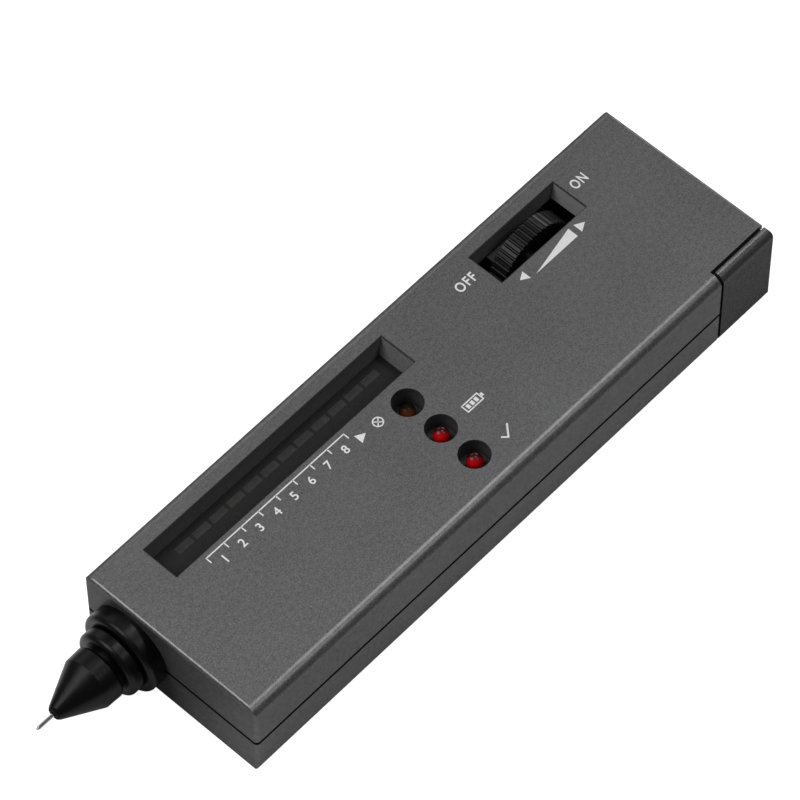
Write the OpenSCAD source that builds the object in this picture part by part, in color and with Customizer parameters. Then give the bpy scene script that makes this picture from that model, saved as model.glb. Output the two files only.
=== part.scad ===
// Hand-held gemstone tester with a spring-loaded probe needle, a bar of indicator lights,
// a thumbwheel volume control and a block battery behind a pull-off corner cap.
// Millimetres. +X runs from the needle to the rear end, +Z is up, and the origin lies
// under the middle of the whole length, on the surface that the tester rests on.

/* [Battery] */
// Length of the block battery's can
battery_l = 46.2; // [42:0.1:50]
// Width of the block battery
battery_w = 25.6; // [23:0.1:28]
// Thickness of the block battery, which sets the height of the body
battery_t = 16.8; // [15.5:0.1:19]
// Room left beside each face of the battery
battery_gap = 0.2; // [0.1:0.05:0.4]
// Height of the two snap terminals
terminal_h = 2.3; // [1.8:0.1:2.8]
// Distance between the two snap terminals
terminal_pitch = 12.7; // [11:0.1:13.5]

/* [Body] */
// Thickness of the moulded walls
wall = 1.4; // [1.2:0.1:1.8]
// Thickness of the wall between the battery and the control bay
divider_t = 0.8; // [0.6:0.1:1.2]
// Width of the bay that holds the thumbwheel
control_bay_w = 10.4; // [9.8:0.1:13]
// Height of the seam between the two shells
seam_z = 9.7; // [9.3:0.1:10.3]
// Rounding of the long edges
long_edge_r = 2; // [1:0.1:2.4]
// Rounding of the front and rear edges
end_edge_r = 0.6; // [0.3:0.1:0.8]
// Rounding of the upright corners
corner_r = 0.8; // [0.4:0.1:1.2]
// Rounding of the upright corner that the cap covers
cap_corner_r = 0.3; // [0.2:0.1:1]
// Height of the shadow groove along the seam
seam_groove = 0.75; // [0.2:0.05:0.8]
// Length of the bay for the battery leads, ahead of the connector
lead_bay_l = 7.4; // [7.2:0.1:12]

/* [Battery cap] */
// Length of the cap's wing along the side
cap_l = 13.35; // [9:0.05:16]
// How far the wing wraps over the top
cap_wrap = 2.15; // [2:0.05:3]
// Thickness of the cap's rear wall
cap_wall = 1.6; // [1.2:0.1:2]
// Visible gap between the cap and the shells
cap_gap = 0.65; // [0.25:0.05:0.75]
// How far the cap's underside stays clear of the surface that the tester rests on
cap_clear = 0.2; // [0.15:0.05:0.4]
// Length of the tongue that holds the cap
tongue_l = 9; // [6:0.5:11]

/* [Display] */
// Distance from the front face to the display window
window_x = 10.4; // [10:0.1:14]
// Width of the display window and of the wheel slot
slot_w = 7.65; // [7:0.05:8]
// Bevel along the top edge of the window and of the wheel slot
edge_break = 0.25; // [0.1:0.05:0.4]
// Depth of the display window, down to its pane
window_depth = 4.9; // [4:0.1:5.4]
// How far the window's end walls lean in at the bottom
window_lean = 0.9; // [0.4:0.1:1.2]
// Number of indicator lights in the bar
led_count = 12; // [8:1:14]
// Pitch of the indicator lights
led_pitch = 4.235; // [3.8:0.005:4.6]
// Gap between two indicator lights
led_gap = 0.3; // [0.2:0.05:0.5]
// Width of an indicator light
led_w = 1.5; // [1.2:0.1:2]
// Plain length of the window past each end of the bar
window_margin = 4.04; // [3.5:0.02:6]
// Thickness of the window's pane
pane_t = 0.8; // [0.6:0.1:1.2]
// Gap between the pane and the lights' faces
pane_gap = 0.2; // [0.1:0.05:0.5]
// Distance from the window's near edge to the middle of the bar
led_row = 5.94; // [5:0.02:6]
// How far the bar sits behind the middle of the window
led_shift = 1.37; // [0.6:0.01:1.5]

/* [Lamps] */
// Distance from the window's rear end back to the three lamps
lamp_back = 7; // [6:0.1:9]
// Distance from the window's near edge to the first lamp
lamp_first = 4.94; // [4.9:0.02:6]
// Pitch of the three lamps
lamp_pitch = 7.78; // [7.6:0.02:8]
// Radius of the lamp holes
lamp_hole_r = 2.95; // [2.5:0.05:3]
// Radius of the lamp domes
lamp_r = 1.5; // [1.2:0.1:1.6]
// Depth of the first lamp's dome under the top
deep_lamp_drop = 3; // [2.4:0.1:3.4]
// Depth of the other two domes under the top
lamp_drop = 1.9; // [1.6:0.1:2.6]

/* [Thumbwheel] */
// Radius of the thumbwheel over its ribs
wheel_r = 9.2; // [8.2:0.1:9.4]
// Width of the thumbwheel
wheel_w = 3.4; // [3:0.1:4]
// How far the thumbwheel stands above the top
wheel_rise = 0.95; // [0.4:0.05:1.2]
// Number of ribs on the thumbwheel's rim
wheel_ribs = 48; // [36:1:56]
// Depth of the grooves between the ribs
rib_depth = 0.4; // [0.3:0.05:0.5]
// Distance from the rear end to the thumbwheel's axis
wheel_back = 29.1; // [27:0.1:31]
// Room in the slot ahead of the thumbwheel and behind it
wheel_slot_end = 1.77; // [1.5:0.01:3]
// Depth of the slot's skirt
wheel_slot_depth = 4.3; // [3:0.1:4.5]
// How far the slot's end walls lean in at the bottom
wheel_slot_lean = 0.6; // [0.3:0.1:0.9]
// Radius of the thumbwheel's spindle
spindle_r = 1.5; // [1.2:0.1:2]

/* [Probe] */
// Distance of the probe's axis from the middle of the body
probe_y = 9.1; // [8:0.1:9.6]
// Length of the nose ahead of the body
nose_l = 18.9; // [18:0.1:24]
// Radius of the nose's first ring, against the body
ring1_r = 8.25; // [8:0.05:8.6]
// Radius of the nose's second ring
ring2_r = 6.65; // [6.4:0.05:7.2]
// Radius of the cone's shoulder
cone_r = 5.35; // [5.2:0.05:6]
// Radius of the cone's blunt tip
cone_tip_r = 1.4; // [1.2:0.05:1.8]
// Radius of the needle
needle_r = 0.38; // [0.3:0.02:0.5]
// Length of needle that stands out of the cone
needle_out = 4; // [3:0.05:6]
// How far the needle can be pressed in
probe_travel = 2; // [1:0.1:2.2]
// Radius of the sliding probe carrier
carrier_r = 2.5; // [2.3:0.05:2.6]
// Radius of the spring's wire
spring_wire_r = 0.2; // [0.15:0.01:0.24]
// Number of coils in the spring
spring_coils = 7; // [5:1:7]

/* [Board] */
// Thickness of the circuit board
board_t = 1.6; // [1.2:0.1:2]
// Height of the circuit board's top face
board_top = 8.4; // [8:0.1:9]
// Room between the circuit board and the side walls
board_gap = 1; // [0.6:0.1:1.4]

/* [Hidden] */
$fn = 64;
fit = 0.1;
running = 0.05;
eps = 0.01;
big = 400;

// Overall sizes of the body
body_h = battery_t + 2 * fit + 2 * wall;
body_w = 2 * wall + battery_w + 2 * battery_gap + divider_t + control_bay_w;
window_l = led_count * led_pitch + 2 * window_margin;
window_end = window_x + window_l;
board_x0 = window_x - 0.9;
board_x1 = window_end + 1.2;
connector_t = 3.6;
connector_x = board_x1 + lead_bay_l;
battery_x = connector_x + connector_t + terminal_h + fit;
battery_end = battery_x + battery_l;
body_l = battery_end + battery_gap + cap_wall + fit;

// Places across the body, from the near side to the far side
near_y = -body_w / 2;
far_y = body_w / 2;
in_near = near_y + wall;
in_far = far_y - wall;
battery_y = in_near + battery_gap;
battery_mid = battery_y + battery_w / 2;
divider_y = battery_y + battery_w + battery_gap;
bay_y = divider_y + divider_t;
slot_mid = bay_y + slot_w / 2;
led_y = bay_y + led_row;

// Heights
ceiling = body_h - wall;
window_floor = body_h - window_depth;
pane_low = window_floor - pane_t;
led_top = pane_low - pane_gap;

// Front face of the body, so that the whole length has its middle at the origin
overall_l = body_l + nose_l + needle_out;
front_x = -overall_l / 2 + nose_l + needle_out;

// Screws that hold the shells: [distance behind the front face, place across]
boss_r = 3.2;
boss_inset = boss_r + 0.2;
screw_head_r = 2.2;
screw_head_h = 1.6;
screw_r = 1.1;
screw_well = 3.4;
screw_reach = 6;
case_bosses = [
    [wall + boss_r + 0.8, in_near + boss_inset],
    [board_x1 + boss_r + 0.4, in_near + boss_inset],
    [board_x1 + boss_r + 4.3, in_far - boss_inset - 0.6],
    [body_l - wall - boss_r - 2.9, in_far - boss_inset - 0.6]
];

// Screws that hold the circuit board
post_r = 2.4;
board_screw_r = 0.8;
board_head_r = 1.8;
board_head_h = 1.3;
board_screw_grip = 3;
board_low = board_top - board_t;
post_in = 3.5;

// Sizes of the parts on the circuit board, and the clear room between them
part_gap = 0.8;
leg = 0.5;
leg_pitch = 2.54;
chip_l = 9.7;
chip_w = 6.4;
chip_h = 3.3;
chip_legs = 4;
chip_leg_out = 0.65;
trimmer_w = 6;
trimmer_h = 3.6;
rotor_r = 1.9;
rotor_h = 0.6;
capacitor_r = 2;
capacitor_h = 5;
resistor_l = 3.4;
resistor_r = 0.9;
resistor_rise = 1.3;
resistor_span = resistor_l / 2 + leg;
resistor_pitch = 2 * resistor_r + leg;
beeper_r = 6;
beeper_h = 7.5;

// Places of those parts: a far row beside the window and a near row along the side wall
frame_rim = 0.5;
far_row = bay_y - frame_rim - part_gap - chip_leg_out - chip_w / 2;
near_row = in_near + board_gap + part_gap + chip_leg_out + chip_w / 2;
middle_row = (far_row + near_row) / 2;
near_posts = in_near + board_gap + part_gap + post_r;
far_posts = far_row - trimmer_w / 2 - board_head_r;
board_posts = [
    for (x = [board_x0 + post_in, board_x1 - post_in], y = [near_posts, far_posts]) [x, y]
];
first_x = board_x0 + post_in + board_head_r + part_gap;
trimmer_x = [first_x + trimmer_w / 2, first_x + trimmer_w * 3 / 2 + part_gap];
beeper_at = [first_x + beeper_r, in_near + board_gap + part_gap + beeper_r];
chip_x = first_x + 2 * max(trimmer_w, beeper_r) + 2 * part_gap + chip_l / 2;
capacitor_x = chip_x + chip_l / 2 + part_gap + capacitor_r;
resistor_step = 2 * resistor_span + leg + part_gap;
resistor_x = [chip_x - resistor_step / 2, chip_x + resistor_step / 2];

// Lamps: [place across, depth of the dome's centre under the top]
lamp_x = window_end - lamp_back;
lamps = [
    for (i = [0 : 2])
        [bay_y - lamp_first - i * lamp_pitch, i == 0 ? deep_lamp_drop : lamp_drop]
];
cup_wall = 0.75;
cup_floor = 1;
lamp_body = 3.2;
lamp_flange_h = 1;
lamp_flange_r = lamp_r + 0.4;

// Thumbwheel and its potentiometer
wheel_x = body_l - wheel_back;
wheel_y = slot_mid - wheel_w / 2 - 2 * fit;
wheel_z = body_h + wheel_rise - wheel_r;
slot_l = 2 * (wheel_r + wheel_slot_end);
skirt = 0.8;
skirt_low = body_h - wheel_slot_depth;
pot_y = wheel_y + wheel_w + 0.4;
pot_board_t = 1.2;
pot_board_y = in_far - 0.2 - pot_board_t;
pot_w = 13;
pot_board_w = 19;
pot_top = skirt_low - 0.4;
pot_low = wall + 2.4;

// Nose and probe: distances are measured ahead of the body's front face
axis_z = seam_z;
spigot_r = 6;
inner_flange_r = 7.4;
inner_flange_t = 1.8;
collar_back = -(wall + inner_flange_t);
ring1_end = 3.6;
ring1_edge = 0.95;
ring2_end = 6.6;
ring2_back_edge = 0.6;
ring2_edge = 1;
cone_at = 7.4;
shoulder_at = 10.9;
thread_r = 4.3;
thread_end = 10.6;
guide_wall = 0.85;
guide_in = carrier_r + running;
guide_r = guide_in + guide_wall;
guide_front = 10.4;
guide_lip = 0.7;
guide_flange_r = guide_r + 1.5;
guide_flange_t = 1;
stem_r = 1.5;
stem_end = 14.4;
carrier_l = 7.6;
carrier_front = guide_front - guide_lip - running;
carrier_back = carrier_front - carrier_l;
spring_spare = 2.25;
spring_room = spring_coils * 2 * spring_wire_r + probe_travel + spring_spare;
plug_front = carrier_back - spring_room;
plug_depth = 2;
guide_back = plug_front - plug_depth;
plug_flange_t = 1;
heater_r = 1.2;
heater_l = 3;
needle_seat = 12;
needle_tip = nose_l + needle_out;

// Box from one corner to the other, with x measured from the body's front face
module block(low, high) {
    translate([front_x + low[0], low[1], low[2]])
        cube([high[0] - low[0], high[1] - low[1], high[2] - low[2]]);
}

// Upright cylinder at a place behind the front face
module post(at, z0, z1, r) {
    translate([front_x + at[0], at[1], z0])
        cylinder(h = z1 - z0, r = r);
}

// Children on the probe's axis, with their own z pointing ahead of the front face
module on_probe_axis() {
    translate([front_x, probe_y, axis_z])
        rotate([0, -90, 0])
            children();
}

// Solid of revolution from [radius, distance ahead of the front face] points
module turned(profile) {
    on_probe_axis()
        rotate_extrude()
            polygon(profile);
}

// Square corner with a rounded inner side, for cutting an edge round
module corner_cut(r) {
    difference() {
        translate([-eps, -eps])
            square(r + eps);
        translate([r, r])
            circle(r);
    }
}

// Rectangle about the origin with its four corners rounded in the order of the plane's quadrants
module rounded_rectangle(size, radii) {
    sides = [[1, 1], [-1, 1], [-1, -1], [1, -1]];
    difference() {
        square(size, center = true);
        for (i = [0 : 3])
            translate([sides[i][0] * size[0] / 2, sides[i][1] * size[1] / 2])
                rotate(180 + 90 * i)
                    corner_cut(radii[i]);
    }
}

// Whole outside of the body: three rounded outlines, one along each axis
module body_form() {
    middle = front_x + body_l / 2;
    intersection() {
        translate([front_x, 0, body_h / 2])
            rotate([90, 0, 90])
                linear_extrude(body_l)
                    rounded_rectangle([body_w, body_h], [for (i = [0 : 3]) long_edge_r]);
        translate([middle, far_y, body_h / 2])
            rotate([90, 0, 0])
                linear_extrude(body_w)
                    rounded_rectangle([body_l, body_h], [for (i = [0 : 3]) end_edge_r]);
        translate([middle, 0, 0])
            linear_extrude(body_h)
                rounded_rectangle([body_l, body_w], [corner_r, corner_r, corner_r, cap_corner_r]);
    }
}

// Opening that narrows from the top face down to its floor at both ends, with its sharp edge broken
module leaning_opening(x0, x1, z0, lean) {
    y0 = bay_y;
    y1 = bay_y + slot_w;
    hull() {
        block([x0, y0, body_h], [x1, y1, body_h + 1]);
        block([x0 + lean, y0, z0 - 1], [x1 - lean, y1, z0]);
    }
    hull() {
        block([x0 - edge_break, y0 - edge_break, body_h], [x1 + edge_break, y1 + edge_break, body_h + 1]);
        block([x0 + edge_break, y0 + edge_break, body_h - 2 * edge_break],
            [x1 - edge_break, y1 - edge_break, body_h]);
    }
}

// Space that the corner cap takes out of the shells
module cap_space() {
    wing_x = body_l - cap_l - cap_gap;
    block([wing_x, near_y - 1, wall], [body_l + 1, near_y + cap_wrap + cap_gap, body_h + 1]);
    block([wing_x, near_y - 1, -1], [body_l + 1, near_y + long_edge_r, wall + eps]);
    block([body_l - wall - cap_wall, in_near, wall], [body_l + 1, bay_y + 1.6 + cap_gap, ceiling]);
}

// Hollow shared by both shells: the main room with the front wall's round nose hole
module case_room() {
    block([wall, in_near, wall], [body_l - wall, in_far, ceiling]);
    on_probe_axis()
        translate([0, 0, -2 * wall])
            cylinder(h = 4 * wall, r = spigot_r + fit);
}

// Strip of wall along each long side, used for the lip of the seam
module seam_lip(thick, height) {
    block([wall + boss_r * 2, in_far, seam_z - eps], [body_l - 4 * wall, in_far + thick, seam_z + height]);
    block([wall + boss_r * 2, in_near - thick, seam_z - eps],
        [body_l - cap_l - 3 * wall, in_near, seam_z + height]);
}

// Wall between the battery and the control bay, from z0 to z1
module divider(z0, z1) {
    block([battery_x, divider_y, z0], [body_l - wall - cap_wall, bay_y, z1]);
}

// Upper shell: top panel with the window, the wheel slot, the lamp holes and the screw posts
module upper_case() {
    slot_x0 = wheel_x - slot_l / 2;
    slot_x1 = wheel_x + slot_l / 2;
    color("dimgray")
    difference() {
        union() {
            difference() {
                intersection() {
                    body_form();
                    block([-1, near_y - 1, seam_z], [body_l + 1, far_y + 1, body_h + 1]);
                }
                case_room();
            }
            block([window_x - skirt, bay_y - skirt, window_floor],
                [window_end + skirt, bay_y + slot_w + skirt, body_h - wall / 2]);
            block([slot_x0 - skirt, bay_y, skirt_low],
                [slot_x1 + skirt, bay_y + slot_w + skirt, body_h - wall / 2]);
            divider(seam_z, body_h - wall / 2);
            for (at = case_bosses)
                post(at, seam_z, body_h - wall / 2, boss_r - 0.8);
        }
        leaning_opening(window_x, window_end, window_floor, window_lean);
        leaning_opening(slot_x0, slot_x1, skirt_low, wheel_slot_lean);
        for (lamp = lamps)
            post([lamp_x, lamp[0]], ceiling - 1, body_h + 1, lamp_hole_r);
        for (at = case_bosses)
            post(at, seam_z - 1, seam_z + screw_reach, screw_r + running);
        seam_lip(wall / 2 + 0.05, 1.1);
        cap_space();
    }
}

// Lower shell: floor, screw wells, board posts, seam lip, battery stops and board guides
module lower_case() {
    stop_t = 0.8;
    stop_h = 5;
    guide_t = 1;
    color("dimgray")
    difference() {
        union() {
            difference() {
                intersection() {
                    body_form();
                    block([-1, near_y - 1, -1], [body_l + 1, far_y + 1, seam_z]);
                }
                case_room();
                difference() {
                    block([-1, near_y - 1, seam_z - seam_groove], [body_l + 1, far_y + 1, seam_z + 1]);
                    block([wall / 3, near_y + wall / 3, 0], [body_l - wall / 3, far_y - wall / 3, body_h]);
                }
            }
            seam_lip(wall / 2 - 0.05, 1);
            divider(wall / 2, seam_z);
            for (at = case_bosses)
                post(at, wall / 2, seam_z, boss_r);
            for (at = board_posts)
                post(at, wall / 2, board_low, post_r);
            for (y = [in_near - wall / 2, divider_y - 2.2])
                block([battery_x - stop_t, y, wall / 2], [battery_x, y + 2.2 + wall / 2, wall + stop_h]);
            for (x = [wheel_x - pot_board_w / 2 - guide_t - fit, wheel_x + pot_board_w / 2 + fit])
                block([x, pot_board_y - guide_t, wall / 2], [x + guide_t, in_far + wall / 2, seam_z]);
        }
        for (at = case_bosses) {
            post(at, -1, screw_well, screw_head_r + 0.3);
            post(at, 0, seam_z + 1, screw_r + 0.2);
        }
        for (at = board_posts)
            post(at, wall + 1, board_low + 1, board_screw_r + running);
        cap_space();
    }
}

// Corner cap: side wing over the full height, rear wall and the tongue that grips the divider
module battery_cap() {
    wing_x = body_l - cap_l;
    tongue_x = body_l - cap_wall - tongue_l;
    color([0.16, 0.16, 0.17])
    difference() {
        union() {
            intersection() {
                body_form();
                union() {
                    block([wing_x, near_y - 1, wall], [body_l + 1, near_y + cap_wrap, body_h + 1]);
                    block([wing_x, near_y - 1, cap_clear],
                        [body_l + 1, near_y + long_edge_r - cap_gap, wall + eps]);
                    block([body_l - cap_wall, near_y - 1, wall + cap_gap],
                        [body_l + 1, bay_y + 1.6, ceiling - cap_gap]);
                }
            }
            block([tongue_x, bay_y + 0.3, wall + 4], [body_l - cap_wall / 2, bay_y + 1.3, ceiling - 4]);
        }
        block([wing_x - 1, in_near, wall], [body_l - cap_wall, in_near + cap_wrap, ceiling]);
    }
}

// Pan-head screws that hold the shells together, driven up from below
module case_screws() {
    color("silver")
    for (at = case_bosses) {
        post(at, screw_well - screw_head_h, screw_well, screw_head_r);
        post(at, screw_well - eps, seam_z + screw_reach - 1, screw_r);
    }
}

// Half section of a ring on the probe's axis, with its back and front edges rounded
module ring_section(d0, d1, r, back, front) {
    translate([0, d0])
        square([r - back, d1 - d0 - front]);
    translate([0, d0 + back])
        square([r, d1 - d0 - back - front]);
    translate([0, d0 + back])
        square([r - front, d1 - d0 - back]);
    translate([r - back, d0 + back])
        circle(back);
    translate([r - front, d1 - front])
        circle(front);
}

// Ringed collar of the nose, clamped in the front wall between the two shells
module nose_collar() {
    color([0.05, 0.05, 0.05])
    on_probe_axis()
        rotate_extrude()
            difference() {
                union() {
                    translate([0, -wall - eps])
                        square([spigot_r, wall + 2 * eps]);
                    translate([0, collar_back])
                        square([inner_flange_r, inner_flange_t]);
                    square([ring1_r, ring1_end - ring1_edge]);
                    square([ring1_r - ring1_edge, ring1_end]);
                    translate([ring1_r - ring1_edge, ring1_end - ring1_edge])
                        circle(ring1_edge);
                    ring_section(ring1_end - eps, ring2_end, ring2_r, ring2_back_edge, ring2_edge);
                    square([thread_r, thread_end]);
                }
                translate([0, collar_back - 1])
                    square([guide_r + fit, thread_end - collar_back + 2]);
                translate([-big, -big])
                    square([big, 2 * big]);
            }
}

// Cone that screws onto the collar and guides the needle
module nose_cone() {
    hole_r = needle_r + 0.07;
    hollow_end = nose_l - 2;
    color([0.05, 0.05, 0.05])
    turned([
        [thread_r + fit, cone_at],
        [cone_r - 0.3, cone_at],
        [cone_r, cone_at + 0.5],
        [cone_r - 0.1, shoulder_at],
        [cone_tip_r + 0.15, nose_l - 0.4],
        [cone_tip_r - 0.2, nose_l],
        [hole_r, nose_l],
        [hole_r, hollow_end],
        [stem_r - 0.3, hollow_end],
        [thread_r - 0.6, thread_end + fit],
        [thread_r + fit, thread_end + fit]
    ]);
}

// Steel needle that touches the stone
module probe_needle() {
    color("silver")
    turned([
        [0, needle_seat],
        [needle_r, needle_seat],
        [needle_r, needle_tip - 0.5],
        [needle_r * 0.55, needle_tip - 0.1],
        [needle_r * 0.3, needle_tip],
        [0, needle_tip]
    ]);
}

// Plunger that carries the needle and its heater and slides in the guide tube
module probe_carrier() {
    bore_r = heater_r + running;
    color("ivory")
    turned([
        [bore_r, carrier_back],
        [carrier_r, carrier_back],
        [carrier_r, carrier_front],
        [stem_r, carrier_front],
        [stem_r, stem_end - 0.4],
        [stem_r - 0.4, stem_end],
        [needle_r + 0.02, stem_end],
        [needle_r + 0.02, needle_seat],
        [bore_r, needle_seat]
    ]);
}

// Heater and sensor bead against the root of the needle
module heater_bead() {
    color("saddlebrown")
    on_probe_axis()
        translate([0, 0, needle_seat - heater_l])
            cylinder(h = heater_l, r = heater_r);
}

// Brass tube in which the plunger slides, flanged against the back of the collar
module probe_guide() {
    color("goldenrod")
    turned([
        [guide_in, guide_back],
        [guide_r, guide_back],
        [guide_r, collar_back - guide_flange_t],
        [guide_flange_r, collar_back - guide_flange_t],
        [guide_flange_r, collar_back],
        [guide_r, collar_back],
        [guide_r, guide_front],
        [stem_r + running, guide_front],
        [stem_r + running, guide_front - guide_lip],
        [guide_in, guide_front - guide_lip]
    ]);
}

// Plug that closes the guide tube and backs the spring
module probe_plug() {
    color([0.1, 0.1, 0.1])
    turned([
        [0, plug_front],
        [carrier_r - 0.02, plug_front],
        [carrier_r - 0.02, guide_back],
        [guide_r, guide_back],
        [guide_r, guide_back - plug_flange_t],
        [0, guide_back - plug_flange_t]
    ]);
}

// Points between hand-chosen ones, on a smooth curve through all of them
function between(p, i, t) =
    let (a = p[max(i - 1, 0)], b = p[i], c = p[i + 1], d = p[min(i + 2, len(p) - 1)])
    (2 * b + (c - a) * t + (2 * a - 5 * b + 4 * c - d) * t * t + (3 * b - a - 3 * c + d) * t * t * t) / 2;
function smooth(p, steps) =
    [for (i = [0 : len(p) - 2]) for (j = [0 : steps - 1]) between(p, i, j / steps), p[len(p) - 1]];

// Directions along a path, and side vectors that turn as little as they can
function unit(v) = v / norm(v);
function heading(p, i) = unit(p[min(i + 1, len(p) - 1)] - p[max(i - 1, 0)]);
function square_to(v, t) = unit(v - (v * t) * t);
function side_vectors(p, i, v) =
    let (s = square_to(v, heading(p, i)))
    i == len(p) - 1 ? [s] : concat([s], side_vectors(p, i + 1, s));

// Unbroken round tube along a path
module tube(path, r, sides) {
    first = abs(heading(path, 0)[2]) > 0.8 ? [1, 0, 0] : [0, 0, 1];
    across = side_vectors(path, 0, first);
    count = len(path);
    points = [
        for (i = [0 : count - 1]) let (t = heading(path, i), u = across[i], w = cross(t, u))
            for (k = [0 : sides - 1]) path[i] + r * (cos(360 * k / sides) * u + sin(360 * k / sides) * w)
    ];
    skin = [
        for (i = [0 : count - 2]) for (k = [0 : sides - 1])
            let (a = i * sides + k, b = i * sides + (k + 1) % sides)
                each [[a, a + sides, b], [b, a + sides, b + sides]]
    ];
    start = [for (k = [1 : sides - 2]) [0, k, k + 1]];
    last = (count - 1) * sides;
    end = [for (k = [1 : sides - 2]) [last, last + k + 1, last + k]];
    polyhedron(points, concat(skin, start, end));
}

// Helix of the probe's spring, from the plug to the back of the plunger
spring_r = carrier_r - spring_wire_r - 0.25;
spring_seat = spring_wire_r + 0.05;
spring_low = plug_front + spring_seat;
spring_high = carrier_back - spring_seat;
turn_steps = 8;
spring_path = [
    for (i = [0 : spring_coils * turn_steps])
        let (turn = 360 * i / turn_steps, part = i / (spring_coils * turn_steps))
            [spring_r * cos(turn), spring_r * sin(turn), spring_low + part * (spring_high - spring_low)]
];
spring_self_gap = min([
    for (i = [0 : len(spring_path) - 1]) for (j = [i + turn_steps / 2 : 1 : len(spring_path) - 1])
        norm(spring_path[i] - spring_path[j])
]) - 2 * spring_wire_r;

// Return spring of the needle
module probe_spring() {
    echo(least_gap_between_spring_coils = spring_self_gap);
    color("silver")
    on_probe_axis()
        tube(spring_path, spring_wire_r, 6);
}

// Thin lead along hand-chosen points, given from the front face of the body, with straight ends
lead_r = 0.45;
lead_steps = 4;
module lead(points) {
    last = len(points) - 1;
    bends = [for (i = [1 : last - 1]) points[i]];
    path = concat([points[0]], smooth(bends, lead_steps), [points[last]]);
    tube([for (p = path) [front_x + p[0], p[1], p[2]]], lead_r, 8);
}

// Two leads from the probe's plug to the circuit board
probe_lead_run = 4.4;
module probe_leads() {
    plug_x = -guide_back + plug_flange_t;
    land_x = plug_x + probe_lead_run;
    color("firebrick")
    for (side = [-1, 1])
        lead([
            [plug_x, probe_y - 1.6, axis_z + 1.2 + side],
            [plug_x + 0.7, probe_y - 1.6, axis_z + 1.2 + side],
            [plug_x + 1.2, probe_y - 2.7, axis_z + 1.4 + side],
            [plug_x + probe_lead_run * 0.64, bay_y - 3.6 + side, board_top + 3 + 0.4 * side],
            [land_x, bay_y - 3.8 + side, board_top + 1],
            [land_x, bay_y - 3.8 + side, board_top]
        ]);
}

// Circuit board on its posts
module main_board() {
    color("darkgreen")
    difference() {
        block([board_x0, in_near + board_gap, board_low], [board_x1, in_far - board_gap, board_top]);
        for (at = board_posts)
            post(at, board_low - 1, board_top + 1, board_screw_r + 0.15);
    }
}

// Pan-head screws that hold the board to its posts
module board_screws() {
    color("silver")
    for (at = board_posts) {
        post(at, board_top, board_top + board_head_h, board_head_r);
        post(at, board_low - board_screw_grip, board_top + eps, board_screw_r);
    }
}

// Places of the indicator lights along the body
led_x = [for (i = [0 : led_count - 1]) window_x + window_margin + led_shift + (i + 0.5) * led_pitch];

// Outline shared by the window's pane and the holder under it, between two heights
module window_block(z0, z1, inset) {
    edge = inset - frame_rim;
    block([window_x + edge, bay_y + edge, z0], [window_end - edge, bay_y + slot_w - edge, z1]);
}

// Smoked pane that closes the window from below
module window_pane() {
    color([0.1, 0.1, 0.1, 0.7])
    window_block(pane_low, window_floor, 0);
}

// Black holder under the pane: a box on the board with a deck that the lights stand through
module bar_led_frame() {
    foot = 1;
    deck_t = 1;
    deck_drop = 0.2;
    deck = led_top - deck_drop;
    color([0.04, 0.04, 0.04])
    difference() {
        window_block(board_top, pane_low, 0);
        window_block(deck, pane_low + 1, foot);
        window_block(board_top - 1, deck - deck_t, foot);
        for (x = led_x)
            block([x - led_pitch / 2 + led_gap / 2 - running, led_y - led_w / 2 - running, board_top],
                [x + led_pitch / 2 - led_gap / 2 + running, led_y + led_w / 2 + running, led_top + 1]);
    }
}

// Row of rectangular indicator lights on wire legs
module bar_leds() {
    body = led_pitch - led_gap;
    color([0.2, 0.05, 0.05])
    for (x = led_x) {
        block([x - body / 2, led_y - led_w / 2, board_top + 1.2],
            [x + body / 2, led_y + led_w / 2, led_top]);
        for (side = [-1, 1])
            block([x + side * leg_pitch / 2 - leg / 2, led_y - leg / 2, board_top],
                [x + side * leg_pitch / 2 + leg / 2, led_y + leg / 2, board_top + 1.2 + eps]);
    }
}

// Heights of a lamp's parts from the depth of its dome
function lamp_shoulder(drop) = body_h - drop - lamp_body;

// Black cups under the lamp holes
module lamp_cups() {
    color([0.04, 0.04, 0.04])
    for (lamp = lamps) {
        low = lamp_shoulder(lamp[1]);
        difference() {
            post([lamp_x, lamp[0]], low, ceiling, lamp_hole_r + cup_wall);
            post([lamp_x, lamp[0]], low + cup_floor, ceiling + 1, lamp_hole_r);
            post([lamp_x, lamp[0]], low - 1, low + cup_floor + 1, lamp_r + fit);
        }
    }
}

// Round lamp with a dome, a flange and two wire legs
module round_lamp(lamp) {
    low = lamp_shoulder(lamp[1]);
    top = body_h - lamp[1];
    post([lamp_x, lamp[0]], low - lamp_flange_h, low, lamp_flange_r);
    post([lamp_x, lamp[0]], low - eps, top, lamp_r);
    translate([front_x + lamp_x, lamp[0], top])
        sphere(r = lamp_r);
    for (side = [-1, 1])
        block([lamp_x + side * leg_pitch / 2 - leg / 2, lamp[0] - leg / 2, board_top],
            [lamp_x + side * leg_pitch / 2 + leg / 2, lamp[0] + leg / 2, low - lamp_flange_h + eps]);
}

// Deep amber lamp that shows the result
module result_lamp() {
    color("saddlebrown")
    round_lamp(lamps[0]);
}

// Red lamp that shows the battery's state
module battery_lamp() {
    color("red")
    round_lamp(lamps[1]);
}

// Red lamp that shows when the probe is warm
module ready_lamp() {
    color("red")
    round_lamp(lamps[2]);
}

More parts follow.
